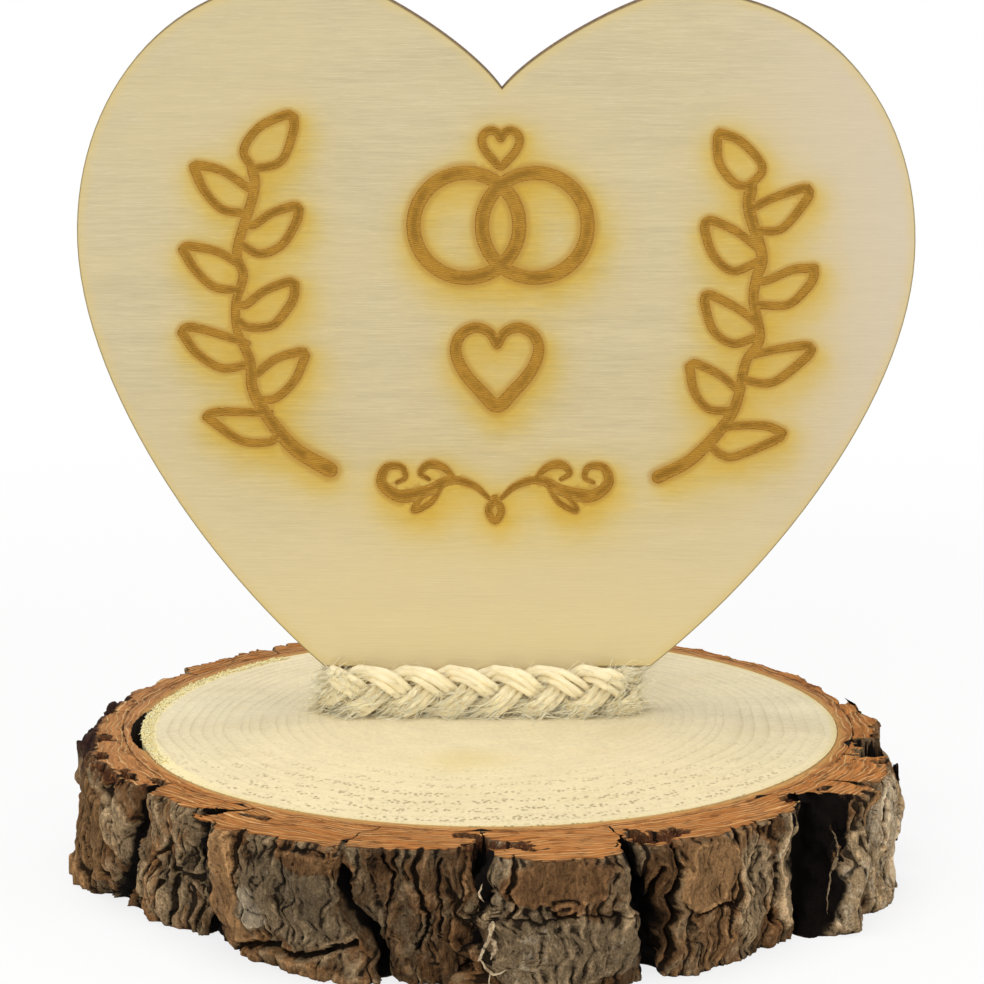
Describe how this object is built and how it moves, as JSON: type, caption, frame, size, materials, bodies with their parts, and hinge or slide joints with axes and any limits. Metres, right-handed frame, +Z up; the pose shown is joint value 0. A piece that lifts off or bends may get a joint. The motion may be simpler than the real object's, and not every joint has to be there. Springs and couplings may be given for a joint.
{
  "type": "wooden cake topper",
  "caption": "Rustic cake topper: an engraved plywood heart stands in a slot across a thick slice of log with its bark on, and a plaited cord is wrapped round the heart's foot.",
  "frame": {"origin": "centre of the log slice's flat sawn underside, on the surface that the topper stands on", "axes": "+Z up, the heart's engraved face towards -Y, +X to the viewer's right"},
  "size_m": [0.1215, 0.1243, 0.1267],
  "materials": {
    "sapwood": "bare sawn end grain with growth rings",
    "inner_bark": "sawn, fibrous",
    "outer_bark": "rough flaky cork, sawn orange-brown on top",
    "basswood_face": "bare fine-grained veneer, laser engraved",
    "basswood_core": "edge browned by the laser",
    "hemp_cord": "hairy natural fibre"
  },
  "bodies": {
    "root": {"wood_disc": "sapwood", "inner_bark": "inner_bark", "bark_plate_01": "outer_bark", "bark_plate_02": "outer_bark", "bark_plate_03": "outer_bark", "bark_plate_04": "outer_bark", "bark_plate_05": "outer_bark", "bark_plate_06": "outer_bark", "bark_plate_07": "outer_bark", "bark_plate_08": "outer_bark", "bark_plate_09": "outer_bark", "bark_plate_10": "outer_bark", "bark_plate_11": "outer_bark", "bark_plate_12": "outer_bark", "bark_plate_13": "outer_bark", "bark_plate_14": "outer_bark", "bark_plate_15": "outer_bark", "bark_plate_16": "outer_bark", "heart_front_veneer": "basswood_face", "heart_core_ply": "basswood_core", "heart_back_veneer": "basswood_face", "braid_strand_a": "hemp_cord", "braid_strand_b": "hemp_cord", "braid_strand_c": "hemp_cord"}
  },
  "joints": []
}
